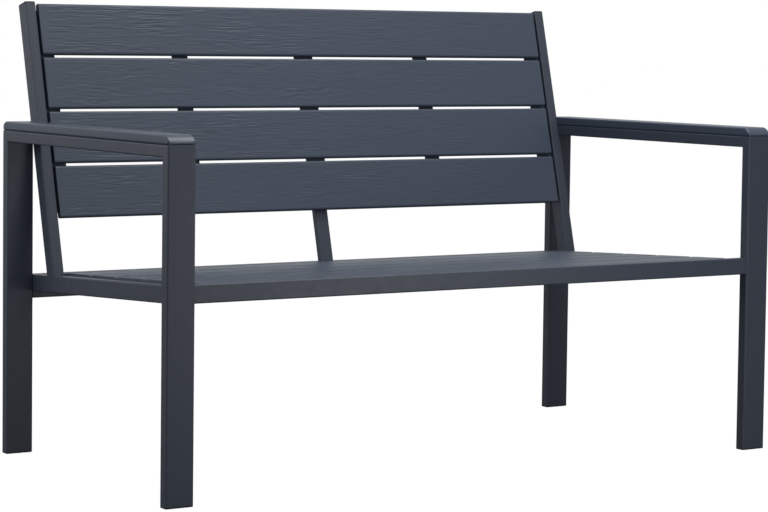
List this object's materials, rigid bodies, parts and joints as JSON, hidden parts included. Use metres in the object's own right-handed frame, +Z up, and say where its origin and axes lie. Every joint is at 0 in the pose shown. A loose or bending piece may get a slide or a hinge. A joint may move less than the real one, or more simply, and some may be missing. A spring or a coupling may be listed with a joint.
{
  "type": "garden bench",
  "caption": "Garden bench with a dark powder-coated tube frame, wood-look planks on seat, leaning back and armrests, and square tube legs.",
  "frame": {"origin": "on the floor, midway between the outer faces of the legs and midway between the front leg faces and the rearmost point of the back", "axes": "+Z up, +X to the right as seen from the front, -Y towards the person who faces the bench; the seat opens towards -Y"},
  "size_m": [1.24, 0.6666, 0.802],
  "materials": {
    "frame_steel": "fine matt powder coat, anthracite",
    "wood_look_board": "solid-coloured board with embossed wood grain, blue grey",
    "end_plug": "moulded, fine matt black",
    "screw_steel": "zinc plated"
  },
  "bodies": {
    "root": {"arm_plank_left": "wood_look_board", "arm_plank_right": "wood_look_board", "arm_rail_left": "frame_steel", "arm_rail_right": "frame_steel", "arm_screws": "screw_steel", "back_ledge_left": "frame_steel", "back_ledge_right": "frame_steel", "back_plank_1": "wood_look_board", "back_plank_2": "wood_look_board", "back_plank_3": "wood_look_board", "back_plank_4": "wood_look_board", "back_post_centre": "frame_steel", "back_post_screws": "screw_steel", "back_strip_centre": "frame_steel", "back_strip_left": "frame_steel", "back_strip_right": "frame_steel", "back_strip_screws": "screw_steel", "back_upright_left": "frame_steel", "back_upright_right": "frame_steel", "foot_plug_front_left": "end_plug", "foot_plug_front_right": "end_plug", "foot_plug_rear_left": "end_plug", "foot_plug_rear_right": "end_plug", "leg_front_left": "frame_steel", "leg_front_right": "frame_steel", "leg_rear_left": "frame_steel", "leg_rear_right": "frame_steel", "post_cap": "end_plug", "seat_bearer_centre": "frame_steel", "seat_bearer_left": "frame_steel", "seat_bearer_right": "frame_steel", "seat_bearer_screws": "screw_steel", "seat_cross_rail": "frame_steel", "seat_front_rail": "frame_steel", "seat_ledge_left": "frame_steel", "seat_ledge_right": "frame_steel", "seat_ledge_screws": "screw_steel", "seat_plank_1": "wood_look_board", "seat_plank_2": "wood_look_board", "seat_plank_3": "wood_look_board", "seat_plank_4": "wood_look_board", "seat_plank_5": "wood_look_board", "seat_rear_rail": "frame_steel", "seat_side_rail_left": "frame_steel", "seat_side_rail_right": "frame_steel", "upright_cap_left": "end_plug", "upright_cap_right": "end_plug"}
  },
  "joints": []
}
